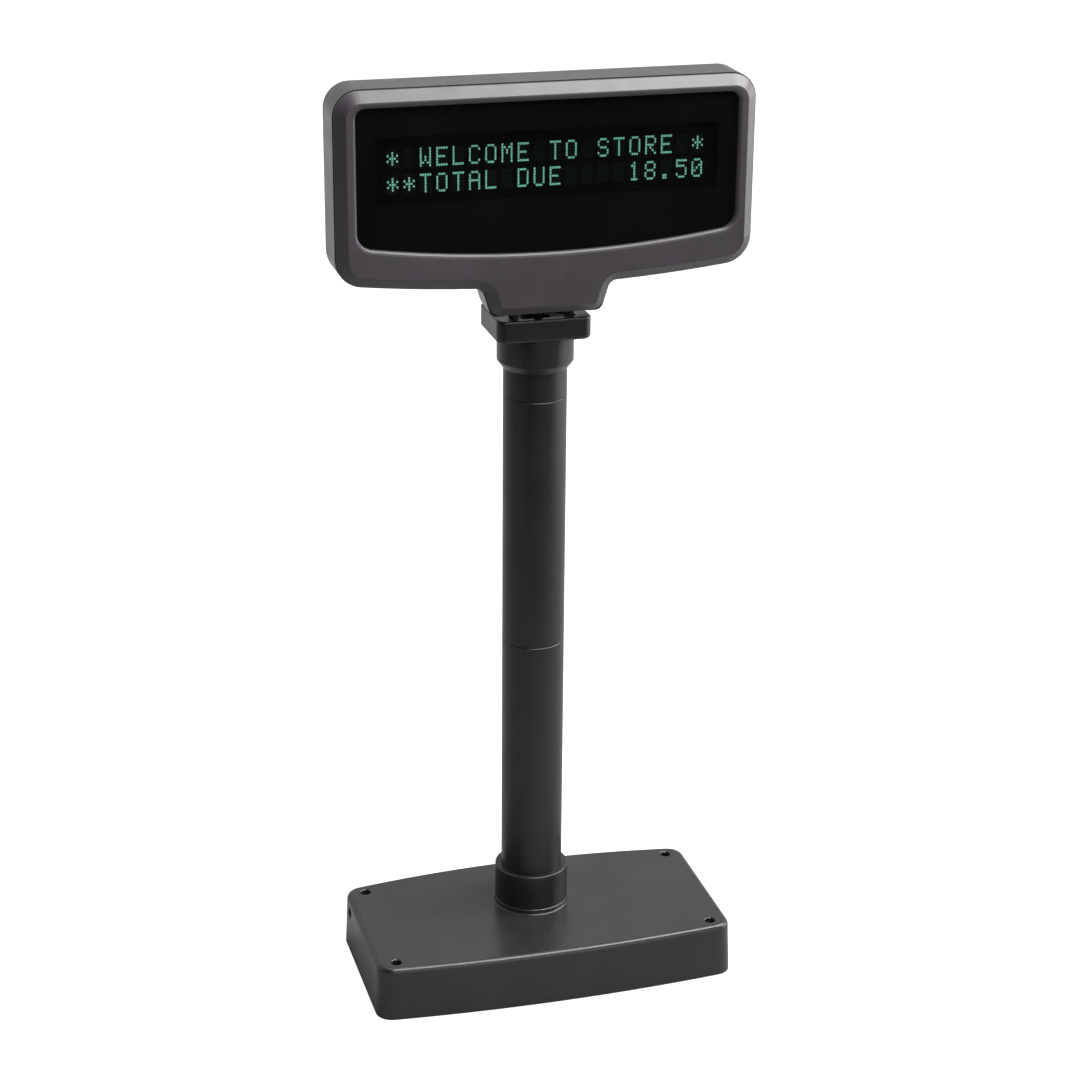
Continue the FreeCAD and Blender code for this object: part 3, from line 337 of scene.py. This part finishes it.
def make_materials():
    made = {
        "housing": moulded("housing", (0.0195, 0.018, 0.02), 0.25),
        # Painted light: the bezel is a copy of the housing's dark plastic made about three times
        # lighter, standing in for the light its front face catches.
        "bezel": moulded("bezel", (0.056, 0.0495, 0.057), 0.32),
        "blackened": metal("black_oxide", (0.03, 0.03, 0.032), 0.42),
        "pole_plastic": moulded("pole_plastic", (0.011, 0.0095, 0.0118), 0.34, 0.3, 0.006),
        "smoked_window": smoked_filter(),
        "display_glass": tube_glass(),
        "anode_plate": moulded("anode_plate", (0.0025, 0.003, 0.003), 0.5, 0.3, 0.003, 0.05),
        "steel": metal("zinc_plate", (0.62, 0.62, 0.64), 0.34),
        "cast_ballast": moulded("cast_ballast", (0.03, 0.03, 0.03), 0.55, 1.2, 0.05),
        "screw_steel": metal("screw_steel", (0.42, 0.42, 0.44), 0.3),
        "spring_steel": metal("spring_steel", (0.25, 0.25, 0.27), 0.28),
        "acetal": moulded("acetal", (0.72, 0.71, 0.66), 0.38, 0.6, 0.006),
        "circuit_board": circuit_board(),
        "black_component": moulded("black_component", (0.018, 0.018, 0.02), 0.48, 0.25, 0.01),
        "connector": moulded("connector", (0.72, 0.69, 0.58), 0.4, 0.5, 0.008),
        "gold_contact": metal("gold_contact", (0.83, 0.6, 0.24), 0.22),
        "ferrite": moulded("ferrite", (0.07, 0.068, 0.068), 0.6, 0.4, 0.02),
        "capacitor_sleeve": moulded("capacitor_sleeve", (0.012, 0.016, 0.05), 0.25, 0.8, 0.004),
        "rubber": moulded("rubber", (0.02, 0.02, 0.02), 0.75, 0.5, 0.03),
        "cable_jacket": moulded("cable_jacket", (0.02, 0.02, 0.021), 0.5, 0.7, 0.01),
    }
    return made


# Pieces whose finish differs from that of their slot; the bezel's lighter plastic is painted light
# for the light on its front face.
FINISHES = {"front_bezel": "bezel", "tilt_bracket": "blackened", "tilt_yoke": "blackened",
            "hinge_bolts": "blackened", "hinge_nuts": "blackened", "outer_washers": "blackened",
            "bracket_screws": "blackened", "swivel_spindle": "blackened",
            "friction_washers": "black_component"}


def dress_cad(materials):
    """Give every carried-over CAD node the material of its slot."""
    slots = {entry["node"]: entry["material_slot"] for entry in frame["record"]["subparts"]}
    for name, node in NODES.items():
        node.data.materials.clear()
        node.data.materials.append(materials[FINISHES.get(name, slots[name])])


# ---------------------------------------------------------------- the display's dots

GLYPHS = {
    "*": "..... ..#.. #.#.# .###. #.#.# ..#.. .....",
    "W": "#...# #...# #...# #.#.# #.#.# ##.## #...#",
    "E": "##### #.... #.... ####. #.... #.... #####",
    "L": "#.... #.... #.... #.... #.... #.... #####",
    "C": ".###. #...# #.... #.... #.... #...# .###.",
    "O": ".###. #...# #...# #...# #...# #...# .###.",
    "M": "#...# ##.## #.#.# #.#.# #...# #...# #...#",
    "T": "##### ..#.. ..#.. ..#.. ..#.. ..#.. ..#..",
    "S": ".###. #...# #.... .###. ....# #...# .###.",
    "R": "####. #...# #...# ####. #.#.. #..#. #...#",
    "A": ".###. #...# #...# ##### #...# #...# #...#",
    "D": "####. #...# #...# #...# #...# #...# ####.",
    "U": "#...# #...# #...# #...# #...# #...# .###.",
    "1": "..#.. .##.. ..#.. ..#.. ..#.. ..#.. .###.",
    "8": ".###. #...# #...# .###. #...# #...# .###.",
    "5": "##### #.... ####. ....# ....# #...# .###.",
    "0": ".###. #...# #..## #.#.# ##..# #...# .###.",
    ".": "..... ..... ..... ..... ..... .##.. .##..",
    " ": "..... ..... ..... ..... ..... ..... .....",
}
MESSAGE = ("* WELCOME TO STORE *", "**TOTAL DUE    18.50")
CHAR_PITCH, ROW_PITCH, TOP_ROW_Z, TEXT_X = 8.43 * MM, 13.2 * MM, 467.2 * MM, 1.2 * MM
DOT_PITCH_X, DOT_PITCH_Z = 1.2 * MM, 1.42 * MM
DOT_W, DOT_H = 0.86 * MM, 1.06 * MM
DOT_CLIP = 0.22                 # the clipped corner of a dot, as a part of its half width
LIT_LIFT, DARK_LIFT = 0.08 * MM, 0.05 * MM


def add_dots(material_lit, material_dark):
    """Forty 5 x 7 dot characters on the anode plate: the lit dots and the dark ones."""
    plate_low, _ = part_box("vfd_anode_plate")
    front = plate_low.y
    for name, wanted, material, lift in (("lit_dots", "#", material_lit, LIT_LIFT),
                                         ("dark_dots", ".", material_dark, DARK_LIFT)):
        mesh = bpy.data.meshes.new(name)
        work = bmesh.new()
        for row, text in enumerate(MESSAGE):
            for column, letter in enumerate(text):
                centre_x = TEXT_X + (column - (len(text) - 1) / 2) * CHAR_PITCH
                centre_z = TOP_ROW_Z - row * ROW_PITCH
                for line_index, line in enumerate(GLYPHS[letter].split()):
                    for dot_index, mark in enumerate(line):
                        if mark != wanted:
                            continue
                        x = centre_x + (dot_index - 2) * DOT_PITCH_X
                        z = centre_z + (3 - line_index) * DOT_PITCH_Z
                        add_pad(work, x, front, z, lift)
        work.to_mesh(mesh)
        work.free()
        mesh.materials.append(material)
        dots = bpy.data.objects.new(name, mesh)
        bpy.context.scene.collection.objects.link(dots)
        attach(dots, "head")


def add_pad(work, x, y, z, lift):
    """One phosphor pad: a thin slab with clipped corners, standing off the plate."""
    cut = 1 - DOT_CLIP
    outline = [(-cut, -1), (cut, -1), (1, -cut), (1, cut), (cut, 1), (-cut, 1), (-1, cut), (-1, -cut)]
    back = [work.verts.new((x + u * DOT_W / 2, y, z + v * DOT_H / 2)) for u, v in outline]
    face = [work.verts.new((x + u * DOT_W / 2, y - lift, z + v * DOT_H / 2)) for u, v in outline]
    work.faces.new(face)
    work.faces.new(list(reversed(back)))
    for i in range(len(outline)):
        j = (i + 1) % len(outline)
        work.faces.new((back[i], back[j], face[j], face[i]))


# ---------------------------------------------------------------- the cable through the hinge

def add_neck_cable(material):
    """The lead from the spindle to the display board: a sleeve with a fixed bend from the pole's axis
    over to the plug.
    """
    low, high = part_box("neck_cable")
    spindle_low, spindle_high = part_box("swivel_spindle")
    plug_low, plug_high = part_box("cable_plug_upper")
    pole_y = (spindle_low.y + spindle_high.y) / 2
    plug_y = (plug_low.y + plug_high.y) / 2
    bend_low, bend_high = spindle_low.z + 12 * MM, spindle_high.z + 13 * MM
    radius, sides, rings = (high.x - low.x) / 2, 20, 90
    mesh = bpy.data.meshes.new("neck_lead")
    work = bmesh.new()
    loops = []
    for i in range(rings + 1):
        z = low.z + (high.z - low.z) * i / rings
        t = min(1.0, max(0.0, (z - bend_low) / (bend_high - bend_low)))
        y = pole_y + (plug_y - pole_y) * t * t * (3 - 2 * t)
        swell = radius * (0.97 if 0 < i < rings else 0.9)
        loops.append([work.verts.new((swell * math.cos(2 * math.pi * k / sides),
                                      y + swell * math.sin(2 * math.pi * k / sides), z))
                      for k in range(sides)])
    for lower, upper in zip(loops, loops[1:]):
        for k in range(sides):
            j = (k + 1) % sides
            work.faces.new((lower[k], lower[j], upper[j], upper[k])).smooth = True
    work.faces.new(list(reversed(loops[0])))
    work.faces.new(loops[-1])
    work.to_mesh(mesh)
    work.free()
    mesh.materials.append(material)
    lead = bpy.data.objects.new("neck_lead", mesh)
    bpy.context.scene.collection.objects.link(lead)
    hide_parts("neck_cable")
    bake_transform(lead)


# ---------------------------------------------------------------- the scene

add_camera()
add_world()
add_floor()
for softbox in SOFTBOXES:
    add_softbox(*softbox)
made = make_materials()
dress_cad(made)
# The dark dots get a faint emission too: a painted glow on phosphor that is not lit.
add_dots(phosphor("lit_phosphor", (0.33, 0.95, 0.68), 1.5),
         phosphor("dark_phosphor", (0.004, 0.012, 0.008), 0.6))
add_neck_cable(made["cable_jacket"])

bpy.context.scene.view_settings.view_transform = "Standard"
